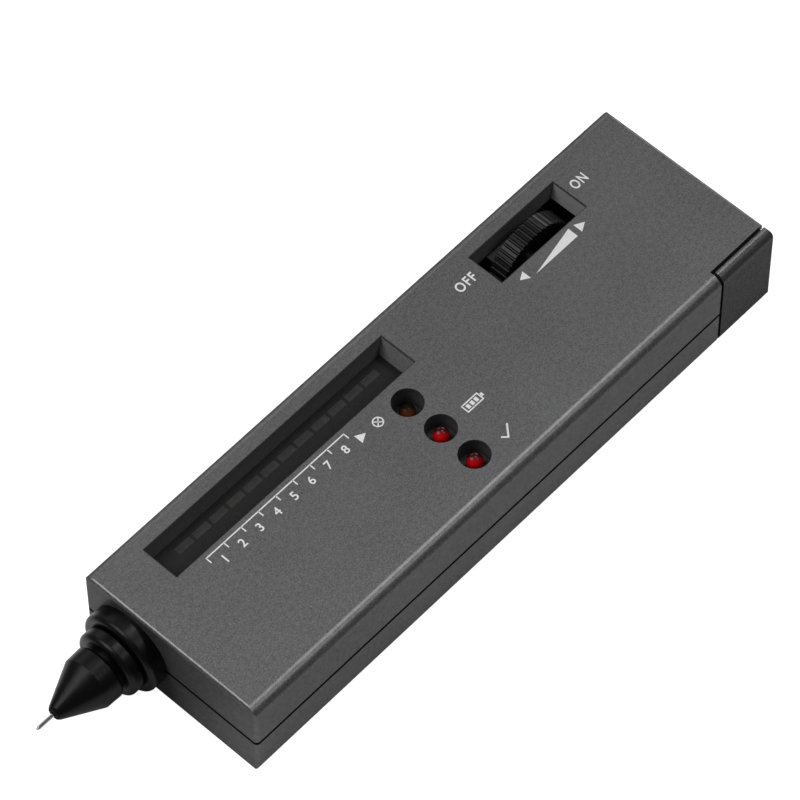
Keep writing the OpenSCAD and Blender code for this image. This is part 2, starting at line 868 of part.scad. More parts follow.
// Dual in-line amplifier chips on their legs
module op_amp_chips() {
    stand = 0.5;
    color([0.08, 0.08, 0.08])
    for (y = [far_row, near_row]) {
        block([chip_x - chip_l / 2, y - chip_w / 2, board_top + stand],
            [chip_x + chip_l / 2, y + chip_w / 2, board_top + stand + chip_h]);
        for (i = [0 : chip_legs - 1], side = [-1, 1]) {
            x = chip_x + (i - (chip_legs - 1) / 2) * leg_pitch;
            edge = y + side * chip_w / 2;
            inside = edge - side * eps;
            outside = edge + side * chip_leg_out;
            block([x - leg / 2, min(inside, outside), board_top],
                [x + leg / 2, max(inside, outside), board_top + stand + chip_h / 2]);
        }
    }
}

// Upright capacitors, one at the end of each row
module capacitors() {
    dent = 0.3;
    top = board_top + capacitor_h;
    color("midnightblue")
    for (y = [far_row, near_row])
        difference() {
            post([capacitor_x, y], board_top, top, capacitor_r);
            post([capacitor_x, y], top - dent, top + 1, capacitor_r - 0.5);
        }
}

// Square trimmers with a slotted round rotor
module trimmers() {
    top = board_top + trimmer_h;
    color("royalblue")
    for (x = trimmer_x)
        difference() {
            union() {
                block([x - trimmer_w / 2, far_row - trimmer_w / 2, board_top],
                    [x + trimmer_w / 2, far_row + trimmer_w / 2, top]);
                post([x, far_row], top - eps, top + rotor_h, rotor_r);
            }
            block([x - rotor_r * 0.8, far_row - 0.3, top],
                [x + rotor_r * 0.8, far_row + 0.3, top + rotor_h + 1]);
        }
}

// Axial resistors with bent legs, in two rows between the chips
module resistors() {
    color("tan")
    for (x = resistor_x, row = [-1, 1]) {
        y = middle_row + row * resistor_pitch / 2;
        translate([front_x + x - resistor_l / 2, y, board_top + resistor_rise])
            rotate([0, 90, 0])
                cylinder(h = resistor_l, r = resistor_r);
        block([x - resistor_span, y - leg / 2, board_top + resistor_rise - leg / 2],
            [x + resistor_span, y + leg / 2, board_top + resistor_rise + leg / 2]);
        for (side = [-1, 1])
            block([x + side * resistor_span - leg / 2, y - leg / 2, board_top],
                [x + side * resistor_span + leg / 2, y + leg / 2, board_top + resistor_rise + leg / 2]);
    }
}

// Round sounder with its sound hole
module beeper() {
    hole_r = 1.1;
    hole_depth = 1.5;
    color([0.06, 0.06, 0.06])
    difference() {
        post(beeper_at, board_top, board_top + beeper_h, beeper_r);
        post(beeper_at, board_top + beeper_h - hole_depth, board_top + beeper_h + 1, hole_r);
    }
}

// Children on the thumbwheel's axis, with their own z pointing to the far side
module on_wheel_axis(y) {
    translate([front_x + wheel_x, y, wheel_z])
        rotate([-90, 0, 0])
            children();
}

// Ribbed thumbwheel with the spindle that turns in the potentiometer
module volume_wheel() {
    groove_r = PI * wheel_r / wheel_ribs * 0.55;
    color([0.07, 0.07, 0.07])
    difference() {
        union() {
            on_wheel_axis(wheel_y)
                linear_extrude(wheel_w)
                    difference() {
                        circle(wheel_r);
                        for (i = [0 : wheel_ribs - 1])
                            rotate(360 * i / wheel_ribs)
                                translate([wheel_r + groove_r - rib_depth, 0])
                                    circle(groove_r);
                    }
            on_wheel_axis(wheel_y + wheel_w - eps)
                cylinder(h = pot_board_y - wheel_y - wheel_w - 0.3, r = spindle_r);
        }
        on_wheel_axis(wheel_y - 1)
            cylinder(h = 1.8, r = wheel_r - 1.8);
        on_wheel_axis(wheel_y)
            cylinder(h = wheel_w + 1, r = 0.8 + running);
    }
}

// Screw in the middle of the thumbwheel
module wheel_screw() {
    color("silver") {
        on_wheel_axis(wheel_y - 0.4)
            cylinder(h = 1.2, r = 1.9);
        on_wheel_axis(wheel_y)
            cylinder(h = wheel_w, r = 0.8);
    }
}

// Switch potentiometer behind the thumbwheel
module potentiometer() {
    color("steelblue")
    difference() {
        block([wheel_x - pot_w / 2, pot_y, pot_low], [wheel_x + pot_w / 2, pot_board_y, pot_top]);
        on_wheel_axis(pot_y - 1)
            cylinder(h = pot_board_y - pot_y + 2, r = spindle_r + running);
    }
}

// Small upright board that carries the potentiometer, held in two guides of the lower shell
module pot_board() {
    color("darkgreen")
    block([wheel_x - pot_board_w / 2, pot_board_y, wall],
        [wheel_x + pot_board_w / 2, pot_board_y + pot_board_t, pot_top]);
}

// Three leads from the potentiometer's board to the main board
module control_leads() {
    start_x = wheel_x - pot_w / 2 - 1.4;
    run = start_x - board_x1;
    color("gainsboro")
    for (i = [0 : 2])
        lead([
            [start_x, pot_board_y, 5.2 + 1.7 * i],
            [start_x, pot_board_y - 1, 5.2 + 1.7 * i],
            [start_x - run * 0.1, pot_board_y - control_bay_w * 0.33, 5.4 + 1.7 * i],
            [start_x - run * 0.33, bay_y + control_bay_w * 0.23, 6.4 + 1.6 * i],
            [start_x - run * 0.57, bay_y + control_bay_w * 0.06, 8 + 1.5 * i],
            [board_x1 + 2.2, bay_y - 1.2 - i, board_top + 2.6 + 1.2 * i],
            [board_x1 - 1, bay_y - 2.2 - 1.6 * i, board_top + 1],
            [board_x1 - 1, bay_y - 2.2 - 1.6 * i, board_top]
        ]);
}

// Block battery, terminals towards the front
module battery() {
    crimp = 0.8;
    color("goldenrod")
    difference() {
        block([battery_x, battery_y, wall + fit],
            [battery_end, battery_y + battery_w, wall + fit + battery_t]);
        block([battery_x - 1, battery_y + crimp, wall + fit + crimp],
            [battery_x + 0.4, battery_y + battery_w - crimp, wall + fit + battery_t - crimp]);
    }
}

battery_z = wall + fit + battery_t / 2;
stud_r = 2.85;
socket_r = 4.1;

// Children on a terminal's axis, with their own z pointing to the rear
module on_terminal(side, x) {
    translate([front_x + x, battery_mid + side * terminal_pitch / 2, battery_z])
        rotate([0, 90, 0])
            children();
}

// Snap terminals: a round stud and a six-sided socket
module battery_terminals() {
    height = terminal_h + 0.4;
    color("silver") {
        on_terminal(1, battery_x - terminal_h)
            cylinder(h = height, r = stud_r);
        on_terminal(-1, battery_x - terminal_h)
            difference() {
                cylinder(h = height, r = socket_r, $fn = 6);
                translate([0, 0, -1])
                    cylinder(h = height, r = stud_r + fit);
            }
    }
}

// Snap connector with a socket and a stud that mate with the battery
module snap_connector() {
    plate_w = terminal_pitch + 2 * socket_r + 3;
    plate_h = 2 * socket_r + 3;
    color([0.06, 0.06, 0.06]) {
        block([connector_x, battery_mid - plate_w / 2, battery_z - plate_h / 2],
            [connector_x + connector_t, battery_mid + plate_w / 2, battery_z + plate_h / 2]);
        on_terminal(-1, connector_x + connector_t - eps)
            cylinder(h = terminal_h - 1.2, r = stud_r);
        on_terminal(1, connector_x + connector_t - eps)
            difference() {
                cylinder(h = terminal_h - 0.4, r = socket_r, $fn = 6);
                translate([0, 0, -1])
                    cylinder(h = terminal_h + 2, r = stud_r + fit);
            }
    }
}

// Battery lead from the connector to the circuit board, at a distance across the connector
module battery_lead(across) {
    y = battery_mid + across;
    lead([
        [connector_x, y, battery_z],
        [connector_x - 1.2, y, battery_z],
        [connector_x - 4, y - 0.5 * sign(across), battery_z + 2],
        [board_x1 - 0.6, y - 0.8 * sign(across), board_top + 2.6],
        [board_x1 - 1.6, y - sign(across), board_top + 0.9],
        [board_x1 - 1.6, y - sign(across), board_top]
    ]);
}

// Positive lead of the battery
module red_lead() {
    color("red")
    battery_lead(3);
}

// Negative lead of the battery
module black_lead() {
    color([0.08, 0.08, 0.08])
    battery_lead(-3);
}

upper_case();
lower_case();
battery_cap();
case_screws();
nose_collar();
nose_cone();
probe_needle();
probe_carrier();
heater_bead();
probe_guide();
probe_plug();
probe_spring();
probe_leads();
main_board();
board_screws();
bar_led_frame();
bar_leds();
window_pane();
lamp_cups();
result_lamp();
battery_lamp();
ready_lamp();
op_amp_chips();
capacitors();
trimmers();
resistors();
beeper();
volume_wheel();
wheel_screw();
potentiometer();
pot_board();
control_leads();
battery();
battery_terminals();
snap_connector();
red_lead();
black_lead();
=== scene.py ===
import math

import bmesh
import bpy
from mathutils import Matrix, Vector


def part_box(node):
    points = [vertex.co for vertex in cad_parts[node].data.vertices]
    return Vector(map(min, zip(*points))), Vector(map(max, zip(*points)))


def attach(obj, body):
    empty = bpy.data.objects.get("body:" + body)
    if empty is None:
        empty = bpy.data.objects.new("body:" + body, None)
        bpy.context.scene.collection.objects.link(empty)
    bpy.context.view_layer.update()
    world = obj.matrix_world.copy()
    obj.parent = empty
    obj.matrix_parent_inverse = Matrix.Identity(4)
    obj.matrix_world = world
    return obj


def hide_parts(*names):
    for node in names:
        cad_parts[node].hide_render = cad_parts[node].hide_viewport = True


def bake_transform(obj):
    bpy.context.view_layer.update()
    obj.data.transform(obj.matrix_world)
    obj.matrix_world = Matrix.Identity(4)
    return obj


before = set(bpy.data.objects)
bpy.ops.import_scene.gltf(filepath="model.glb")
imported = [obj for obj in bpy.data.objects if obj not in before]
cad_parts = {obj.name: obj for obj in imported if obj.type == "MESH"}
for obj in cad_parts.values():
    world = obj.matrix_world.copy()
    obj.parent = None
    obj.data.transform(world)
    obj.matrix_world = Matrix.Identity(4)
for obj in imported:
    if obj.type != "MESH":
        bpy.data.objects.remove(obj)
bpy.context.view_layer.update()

# The two shells of the housing: moulded in black ABS and sprayed with a satin gray paint that
# carries fine metal flakes. It lands dry on the walls of the window and of the wheel slot, and
# doesn't reach into the groove between the shells. On those walls the colour holds painted shade
# at the top of the far walls, painted light on the rear walls, and a thin dark line along the rims.
MM = 0.001


class Reading:
    """What a material reads at a point of the surface; a sum on it becomes a node."""

    def __init__(self, finish, socket):
        self.finish = finish
        self.socket = socket

    def work(self, operation, other=0.0, swapped=False):
        terms = {0: other, 1: self} if swapped else {0: self, 1: other}
        return self.finish.node("ShaderNodeMath", {"operation": operation}, terms)

    def __add__(self, other):
        return self.work("ADD", other)

    def __sub__(self, other):
        return self.work("SUBTRACT", other)

    def __rsub__(self, other):
        return self.work("SUBTRACT", other, swapped=True)

    def __mul__(self, other):
        return self.work("MULTIPLY", other)

    def __gt__(self, other):
        return self.work("GREATER_THAN", other)

    def __lt__(self, other):
        return self.work("LESS_THAN", other)

    def __abs__(self):
        return self.work("ABSOLUTE")

    __radd__ = __add__
    __rmul__ = __mul__


class Finish:
    """A material made of nodes, whose patterns lie at the piece's own place on the tester."""

    def __init__(self, name):
        self.material = bpy.data.materials.new(name)
        self.material.use_nodes = True
        self.tree = self.material.node_tree
        self.place = self.node("ShaderNodeTexCoord", {}, {}, "Object")

    def feed(self, socket, value):
        if isinstance(value, Reading):
            self.tree.links.new(value.socket, socket)
        else:
            socket.default_value = value

    def node(self, kind, settings, sockets, out=0):
        made = self.tree.nodes.new(kind)
        for name, value in settings.items():
            setattr(made, name, value)
        for name, value in sockets.items():
            self.feed(made.inputs[name], value)
        return Reading(self, made.outputs[out])

    def along(self, axis):
        """Place along one axis of the tester, in millimetres."""
        return self.node("ShaderNodeSeparateXYZ", {}, {"Vector": self.place}, axis) * (1 / MM)

    def speckle(self, grain, detail=2.0, stretch=(1, 1, 1)):
        """Noise around zero, with grains of about this many millimetres."""
        spread = self.node("ShaderNodeMapping", {}, {"Vector": self.place, "Scale": stretch})
        sockets = {"Vector": spread, "Scale": 1 / (grain * MM), "Detail": detail}
        return self.node("ShaderNodeTexNoise", {}, sockets) * 2 - 1

    def blend(self, share, first, second):
        """First colour where the share is 0, second colour where it is 1."""
        return self.node("ShaderNodeMix", {"data_type": "RGBA"}, {0: share, 6: first, 7: second}, 2)

    def relief(self, height, depth):
        """Bump that is this many millimetres high where the height reads 1."""
        return self.node("ShaderNodeBump", {}, {"Height": height, "Distance": depth * MM}, "Normal")

    def surface(self, sockets):
        for name, value in sockets.items():
            self.feed(self.tree.nodes["Principled BSDF"].inputs[name], value)


def tint(red, green, blue):
    """A colour as a screen shows it, 0 to 255, as the light that it stands for."""
    return (*[(c / 255 / 12.92 if c <= 10 else ((c / 255 + 0.055) / 1.055) ** 2.4)
              for c in (red, green, blue)], 1.0)


def dress(finish, *nodes):
    """Give CAD nodes their finish."""
    for node in nodes:
        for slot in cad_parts[node].material_slots:
            slot.material = finish.material


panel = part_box("upper_case")[1].z
SEAM_TOP = 9.7
SEAM_HIGH = 0.75
SEAM_SPARE = 0.02
RECESS_NEAR = 8.0
RECESS_FAR = 16.1
RECESS_FRONT = -44.6
RECESS_RIM = 0.05
DARK_RIM_DEEP = 0.35
PAINTED_LIGHT_FROM = 0.45
PAINTED_LIGHT_PER_MM = 0.0075
FAR_WALL_SHADE_DEEP = 3.6
FACES_AWAY = -0.5
gray_paint = Finish("gray_paint")
flakes = gray_paint.speckle(0.3, detail=5.0)
blotches = gray_paint.speckle(0.9)
clouds = gray_paint.speckle(14)
along, across, height = (gray_paint.along(axis) for axis in "XYZ")
deep = panel / MM - height
bare = (height > SEAM_TOP - SEAM_HIGH - SEAM_SPARE) * (height < SEAM_TOP + SEAM_SPARE)
dry = (deep > RECESS_RIM) * (across > RECESS_NEAR) * (across < RECESS_FAR) * (along > RECESS_FRONT)
outward = gray_paint.node("ShaderNodeNewGeometry", {}, {}, "True Normal")
faces_rear, faces_far = (
    gray_paint.node("ShaderNodeSeparateXYZ", {}, {"Vector": outward}, axis) for axis in "XY")
far_wall = faces_far < FACES_AWAY
rear_wall = faces_rear < FACES_AWAY
shade = flakes * 1.1 + blotches * 0.4 + clouds * 0.2 + 0.5
painted = gray_paint.blend(shade, tint(88, 88, 89), tint(118, 118, 119))
# Painted shade: the far walls of the window and the wheel slot are coloured darker towards their top.
painted_shade_far_wall = dry * far_wall * (1 - deep * (1 / FAR_WALL_SHADE_DEEP))
painted = gray_paint.blend(painted_shade_far_wall, painted, tint(92, 92, 92))
# Painted light: the rear walls are coloured lighter from just below their top edge, the more so the
# further back they stand.
painted_light_rear_wall = dry * rear_wall * (deep > PAINTED_LIGHT_FROM) * along * PAINTED_LIGHT_PER_MM
painted = gray_paint.blend(painted_light_rear_wall, painted, tint(160, 160, 160))
# A thin dark line is coloured along the rims of the window and the wheel slot.
dark_rim = dry * (deep < DARK_RIM_DEEP) * 0.8
painted = gray_paint.blend(dark_rim, painted, tint(30, 30, 30))
gray_paint.surface({
    "Base Color": gray_paint.blend(bare, painted, tint(22, 22, 22)),
    "Metallic": (1 - bare) * (1 - dry) * 0.7,
    "Roughness": flakes * 0.14 + dry * 0.25 + 0.38,
    "Specular IOR Level": 0.12,
    "Specular Tint": (0.3, 0.3, 0.3, 1),
    "Normal": gray_paint.relief(gray_paint.speckle(0.35, detail=3.0), 0.004),
})
dress(gray_paint, "upper_case", "lower_case")

# The marks on the top panel: pad-printed in one pass of white ink. A scale with a figure for each
# step, a pointer, the two ends of the switch, and plain signs for lamp, battery, ready and volume.
INK_THICK = 0.012 * MM
white_ink = Finish("white_ink")
ink_wear = white_ink.speckle(0.3, detail=4.0)
white_ink.surface({
    "Base Color": white_ink.blend(ink_wear + 0.5, tint(200, 200, 200), tint(224, 224, 224)),
    "Roughness": ink_wear * 0.1 + 0.62,
    "Specular IOR Level": 0.3,
})
ink = bmesh.new()


def print_outline(points):
    """Print a filled outline, given in millimetres along and across the panel."""
    low = [ink.verts.new((x * MM, y * MM, panel - INK_THICK)) for x, y in points]
    high = [ink.verts.new((x * MM, y * MM, panel + INK_THICK)) for x, y in points]
    ink.faces.new(high)
    ink.faces.new(low[::-1])
    for i in range(len(points)):
        j = (i + 1) % len(points)
        ink.faces.new((low[i], low[j], high[j], high[i]))


def print_stroke(points, width):
    """Print a line of this width through the points, mitred at its bends."""
    path = [Vector(p) for p in points]
    left, right = [], []
    for i, here in enumerate(path):
        before = (here - path[i - 1]).normalized() if i else (path[1] - here).normalized()
        after = (path[i + 1] - here).normalized() if i + 1 < len(path) else before
        middle = (before + after).normalized()
        reach = width / 2 / max(middle.dot(after), 0.3)
        side = Vector((-middle.y, middle.x)) * reach
        left.append(here + side)
        right.append(here - side)
    print_outline([tuple(p) for p in right + left[::-1]])


def print_ring(middle, radius, width, steps=32):
    """Print a ring of this width, in short closed pieces."""
    turn = [2 * math.pi * i / steps for i in range(steps + 1)]
    for a, b in zip(turn, turn[1:]):
        print_outline([
            (middle[0] + r * math.cos(t), middle[1] + r * math.sin(t))
            for r, t in ((radius - width / 2, a), (radius + width / 2, a),
                         (radius + width / 2, b), (radius - width / 2, b))
        ])


def print_word(word, middle, height, weight=0.0, width=None):
    """Print figures or letters of this height, centred on a place."""
    curve = bpy.data.curves.new(word, "FONT")
    curve.body = word
    curve.offset = weight
    curve.extrude = INK_THICK
    curve.space_character = 1.2
    letters = bpy.data.objects.new(word, curve)
    bpy.context.collection.objects.link(letters)
    shape = letters.evaluated_get(bpy.context.evaluated_depsgraph_get())
    mesh = bpy.data.meshes.new_from_object(shape)
    xs = [v.co.x for v in mesh.vertices]
    ys = [v.co.y for v in mesh.vertices]
    scale_y = height / (max(ys) - min(ys))
    scale_x = width / (max(xs) - min(xs)) if width else scale_y
    centre = Vector(((max(xs) + min(xs)) / 2, (max(ys) + min(ys)) / 2, 0))
    fitted = Matrix.Translation((middle[0] * MM, middle[1] * MM, panel))
    fitted = fitted @ Matrix.Diagonal((scale_x * MM, scale_y * MM, 1, 1)) @ Matrix.Translation(-centre)
    mesh.transform(fitted)
    closed = bmesh.new()
    closed.from_mesh(mesh)
    bmesh.ops.remove_doubles(closed, verts=closed.verts, dist=INK_THICK / 20)
    closed.to_mesh(mesh)
    closed.free()
    ink.from_mesh(mesh)
    bpy.data.objects.remove(letters)
    bpy.data.meshes.remove(mesh)


SCALE_START = -38.3
SCALE_STEP = 4.235
SCALE_STEPS = 8
SCALE_LINE = 6.95
TICK_LONG = 1.25
TICK_WIDE = 0.24
line_start = SCALE_START - TICK_WIDE / 2
line_end = SCALE_START + SCALE_STEP * SCALE_STEPS + TICK_WIDE / 2
print_stroke([(line_start, SCALE_LINE), (line_end, SCALE_LINE)], TICK_WIDE)
FIGURE_ROW = 4.6
FIGURE_TALL = 1.75
FIGURE_ALONG = 0.52
for step in range(SCALE_STEPS):
    figure_x = SCALE_START + SCALE_STEP * (step + FIGURE_ALONG)
    print_word(str(step + 1), (figure_x, FIGURE_ROW), FIGURE_TALL, weight=0.012)
POINTER = [(-3.5, 5.35), (-3.5, 3.3), (-1.65, 4.33)]
print_outline(POINTER)
LAMP_SIGN_X = 1.4
LAMP_SIGN_Y = 4.3
LAMP_SIGN_ARM = 0.6
print_ring((LAMP_SIGN_X, LAMP_SIGN_Y), radius=0.95, width=0.24)
for lean in (-LAMP_SIGN_ARM, LAMP_SIGN_ARM):
    print_stroke([(LAMP_SIGN_X - LAMP_SIGN_ARM, LAMP_SIGN_Y - lean),
                  (LAMP_SIGN_X + LAMP_SIGN_ARM, LAMP_SIGN_Y + lean)], width=0.22)
print_word("OFF", (32.95, 12.78), height=2.05, weight=0.018, width=4.5)
print_word("ON", (62.5, 12.75), height=2.1, weight=0.018, width=3.4)
OFF_ARROW = [(39.7, 6.1), (41.4, 5.05), (41.4, 7.1)]
ON_ARROW = [(56.7, 6.05), (54.8, 7.1), (54.8, 5.0)]
VOLUME_WEDGE = [(42.7, 4.95), (53.6, 4.95), (53.6, 7.2)]
for outline in (OFF_ARROW, ON_ARROW, VOLUME_WEDGE):
    print_outline(outline)
BATTERY_SIGN = [(13.4, -4.15), (17.2, -4.15), (17.2, -5.75), (13.4, -5.75), (13.4, -4.03)]
print_stroke(BATTERY_SIGN, width=0.26)
BATTERY_SIGN_TIP = [(17.4, -4.6), (17.9, -4.6), (17.9, -5.3), (17.4, -5.3)]
print_outline(BATTERY_SIGN_TIP)
CELL_WIDE = 0.7
CELL_TOP = -4.5
CELL_LOW = -5.4
for cell in (13.9, 14.9, 15.9):
    print_outline([(cell, CELL_TOP), (cell, CELL_LOW),
                   (cell + CELL_WIDE, CELL_LOW), (cell + CELL_WIDE, CELL_TOP)])
READY_TICK = [(13.4, -13.3), (14.3, -14.2), (16.2, -12.1)]
print_stroke(READY_TICK, width=0.34)
marks_mesh = bpy.data.meshes.new("printed_marks")
bmesh.ops.recalc_face_normals(ink, faces=ink.faces)
ink.to_mesh(marks_mesh)
ink.free()
marks_mesh.materials.append(white_ink.material)
printed_marks = bpy.data.objects.new("printed_marks", marks_mesh)
bpy.context.collection.objects.link(printed_marks)
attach(printed_marks, "case")


class Pattern:
    """A Geometry Nodes tree that repeats a shape, with named inputs for its sizes."""

    def __init__(self, name, sizes):
        self.sizes = sizes
        self.tree = bpy.data.node_groups.new(name, "GeometryNodeTree")
        for size, value in sizes.items():
            kind = "NodeSocketInt" if isinstance(value, int) else "NodeSocketFloat"
            self.tree.interface.new_socket(size, in_out="INPUT", socket_type=kind)
        self.tree.interface.new_socket("Geometry", in_out="OUTPUT", socket_type="NodeSocketGeometry")
        self.given = self.tree.nodes.new("NodeGroupInput")

    def size(self, name):
        return self.given.outputs[name]

    def node(self, kind, settings, sockets, out=0):
        made = self.tree.nodes.new(kind)
        for name, value in settings.items():
            setattr(made, name, value)
        for name, value in sockets.items():
            if isinstance(value, bpy.types.NodeSocket):
                self.tree.links.new(value, made.inputs[name])
            else:
                made.inputs[name].default_value = value
        return made.outputs[out]

    def make(self, name, geometry, finish):
        """Turn the pattern into a plain mesh with its finish."""
        real = self.node("GeometryNodeRealizeInstances", {}, {"Geometry": geometry})
        dressed = self.node("GeometryNodeSetMaterial", {}, {
            "Geometry": real, "Material": finish.material})
        result = self.tree.nodes.new("NodeGroupOutput")
        self.tree.links.new(dressed, result.inputs[0])
        holder = bpy.data.objects.new(name, bpy.data.meshes.new(name + "_start"))
        bpy.context.collection.objects.link(holder)
        pattern = holder.modifiers.new(name, "NODES")
        pattern.node_group = self.tree
        for item in self.tree.interface.items_tree:
            if item.in_out == "INPUT":
                pattern[item.identifier] = self.sizes[item.name]
        shape = holder.evaluated_get(bpy.context.evaluated_depsgraph_get())
        mesh = bpy.data.meshes.new_from_object(shape)
        holder.modifiers.remove(pattern)
        holder.data = mesh
        return holder


ticks = Pattern("scale_ticks", {
    "Ticks": SCALE_STEPS + 1, "Step": SCALE_STEP * MM, "Long": TICK_LONG * MM, "Wide": TICK_WIDE * MM,
    "Thick": 2 * INK_THICK,
})
tick_size = ticks.node("ShaderNodeCombineXYZ", {}, {
    "X": ticks.size("Wide"), "Y": ticks.size("Long"), "Z": ticks.size("Thick")})
tick = ticks.node("GeometryNodeMeshCube", {}, {"Size": tick_size}, "Mesh")
tick_row = ticks.node("GeometryNodeMeshLine", {}, {
    "Count": ticks.size("Ticks"),
    "Start Location": (SCALE_START * MM, (SCALE_LINE - TICK_LONG / 2) * MM, panel),
    "Offset": ticks.node("ShaderNodeCombineXYZ", {}, {"X": ticks.size("Step")}),
})
placed_ticks = ticks.node("GeometryNodeInstanceOnPoints", {}, {"Points": tick_row, "Instance": tick})
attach(ticks.make("scale_ticks", placed_ticks, white_ink), "case")

# The case screws: zinc-plated steel pan heads with a cross recess, cut from wire, rolled threads,
# driven up through wells in the lower shell into the posts of the upper one.
plated_steel = Finish("plated_steel")
tool_marks = plated_steel.speckle(0.12, stretch=(1, 1, 0.2))
zinc_clouds = plated_steel.speckle(0.8)
plated_steel.surface({
    "Base Color": plated_steel.blend(zinc_clouds + 0.5, tint(150, 150, 152), tint(186, 186, 184)),
    "Metallic": 1.0,
    "Roughness": tool_marks * 0.12 + 0.34,
    "Normal": plated_steel.relief(tool_marks, 0.004),
})


def solids_of(node):
    """Boxes of the separate solids in a CAD node."""
    shape = bmesh.new()
    shape.from_mesh(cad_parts[node].data)
    bmesh.ops.remove_doubles(shape, verts=shape.verts, dist=0.001 * MM)
    waiting = set(shape.verts)
    boxes = []
    while waiting:
        front = [waiting.pop()]
        island = list(front)
        while front:
            corner = front.pop()
            near = [edge.other_vert(corner) for edge in corner.link_edges]
            new = [v for v in near if v in waiting]
            waiting.difference_update(new)
            front += new
            island += new
        places = [v.co.copy() for v in island]
        boxes.append((Vector([min(p[i] for p in places) for i in range(3)]),
                      Vector([max(p[i] for p in places) for i in range(3)])))
    shape.free()
    return sorted(boxes, key=lambda box: tuple(box[0]))


def cross_head_screw(name, head_r, head_h, shank_r, length, pitch):
    """A screw on the z axis, its head's face at zero and its point below, in metres."""
    threads = int((length - head_h) / pitch)
    core_r = shank_r * 0.8
    profile = [(0, 0), (head_r * 0.55, -head_h * 0.04), (head_r * 0.86, -head_h * 0.2),
               (head_r, -head_h * 0.5), (head_r, -head_h), (core_r, -head_h)]
    for i in range(threads):
        z = -head_h - pitch * (i + 0.5)
        profile += [(core_r, z + pitch * 0.3), (shank_r, z), (core_r, z - pitch * 0.3)]
    profile += [(shank_r * 0.5, -length), (0, -length)]
    turned = bmesh.new()
    rim = [turned.verts.new((r, 0, z)) for r, z in profile]
    for a, b in zip(rim, rim[1:]):
        turned.edges.new((a, b))
    bmesh.ops.spin(turned, geom=turned.verts[:] + turned.edges[:], axis=(0, 0, 1), cent=(0, 0, 0),
                   angle=2 * math.pi, steps=24, use_merge=True)
    bmesh.ops.remove_doubles(turned, verts=turned.verts, dist=0.002 * MM)
    bmesh.ops.recalc_face_normals(turned, faces=turned.faces)
    screw_mesh = bpy.data.meshes.new(name)
    turned.to_mesh(screw_mesh)
    turned.free()
    recess = bmesh.new()
    arm_long = head_r * 1.15
    arm_wide = head_r * 0.3
    arm_high = head_h * 0.9
    for arm in ((arm_long, arm_wide), (arm_wide, arm_long)):
        bmesh.ops.create_cube(recess, matrix=Matrix.Diagonal((*arm, arm_high, 1)))
    recess_mesh = bpy.data.meshes.new(name + "_recess")
    recess.to_mesh(recess_mesh)
    recess.free()
    screw = bpy.data.objects.new(name, screw_mesh)
    driver = bpy.data.objects.new(name + "_recess", recess_mesh)
    for piece in (screw, driver):
        bpy.context.collection.objects.link(piece)
    cut = screw.modifiers.new("cross", "BOOLEAN")
    cut.operation = "DIFFERENCE"
    cut.solver = "EXACT"
    cut.use_self = True
    cut.object = driver
    shape = screw.evaluated_get(bpy.context.evaluated_depsgraph_get())
    cut_mesh = bpy.data.meshes.new_from_object(shape)
    for piece in (screw, driver):
        bpy.data.objects.remove(piece)
    return bpy.data.objects.new(name, cut_mesh)


def set_screws(name, node, head_r, shank_r, head_h, pitch, turn, face, body):
    """Set a cross-head screw at each solid of a CAD node, which it stands for."""
    boxes = solids_of(node)
    axis = [i for i in range(3) if abs(turn[i][2]) > 0.5][0]
    length = boxes[0][1][axis] - boxes[0][0][axis]
    one = cross_head_screw(name + "_one", head_r * MM, head_h * MM, shank_r * MM, length, pitch * MM)
    one.data.transform(turn.to_4x4())
    bpy.context.collection.objects.link(one)
    points = bpy.data.meshes.new(name + "_points")
    places = []
    for low, high in boxes:
        place = (low + high) / 2
        place[axis] = high[axis] if face > 0 else low[axis]
        places.append(place)
    points.from_pydata(places, [], [])
    spots = bpy.data.objects.new(name + "_points", points)
    bpy.context.collection.objects.link(spots)
    row = Pattern(name, {"Size": 1.0})
    at = row.node("GeometryNodeObjectInfo", {}, {"Object": spots}, "Geometry")
    shape = row.node("GeometryNodeObjectInfo", {}, {"Object": one}, "Geometry")
    placed = row.node("GeometryNodeInstanceOnPoints", {}, {
        "Points": at, "Instance": shape, "Scale": row.size("Size")})
    screws = row.make(name, placed, plated_steel)
    for piece in (one, spots):
        bpy.data.objects.remove(piece)
    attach(screws, body)
    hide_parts(node)


HEAD_DOWN = Matrix.Rotation(math.pi, 3, "X")
HEAD_UP = Matrix.Identity(3)
HEAD_NEAR = Matrix.Rotation(math.pi / 2, 3, "X")
set_screws("cross_head_case_screws", "case_screws", head_r=2.2, shank_r=1.1, head_h=1.6, pitch=0.9,
           turn=HEAD_DOWN, face=-1, body="case")

# The circuit board: green glass-epoxy sheet with etched copper tracks under the solder mask,
# drilled and held down on the lower shell's posts by four small screws.
TRACK_REPEAT = 9 * MM
solder_mask = Finish("solder_mask")
tracks = solder_mask.node("ShaderNodeTexBrick", {"offset": 0.35, "squash": 0.6}, {
    "Vector": solder_mask.place, "Scale": 1 / TRACK_REPEAT, "Mortar Size": 0.035, "Brick Width": 0.7,
    "Row Height": 0.28, "Mortar Smooth": 0.1}, "Fac")
weave = solder_mask.speckle(0.5)
solder_mask.surface({
    "Base Color": solder_mask.blend(tracks + weave * 0.1, tint(24, 84, 52), tint(52, 120, 76)),
    "Roughness": weave * 0.08 + 0.36,
    "Coat Weight": 0.3,
    "Normal": solder_mask.relief(tracks, 0.035),
})
dress(solder_mask, "main_board", "pot_board")
set_screws("cross_head_board_screws", "board_screws", head_r=1.8, shank_r=0.8, head_h=1.3, pitch=0.6,
           turn=HEAD_UP, face=1, body="case")

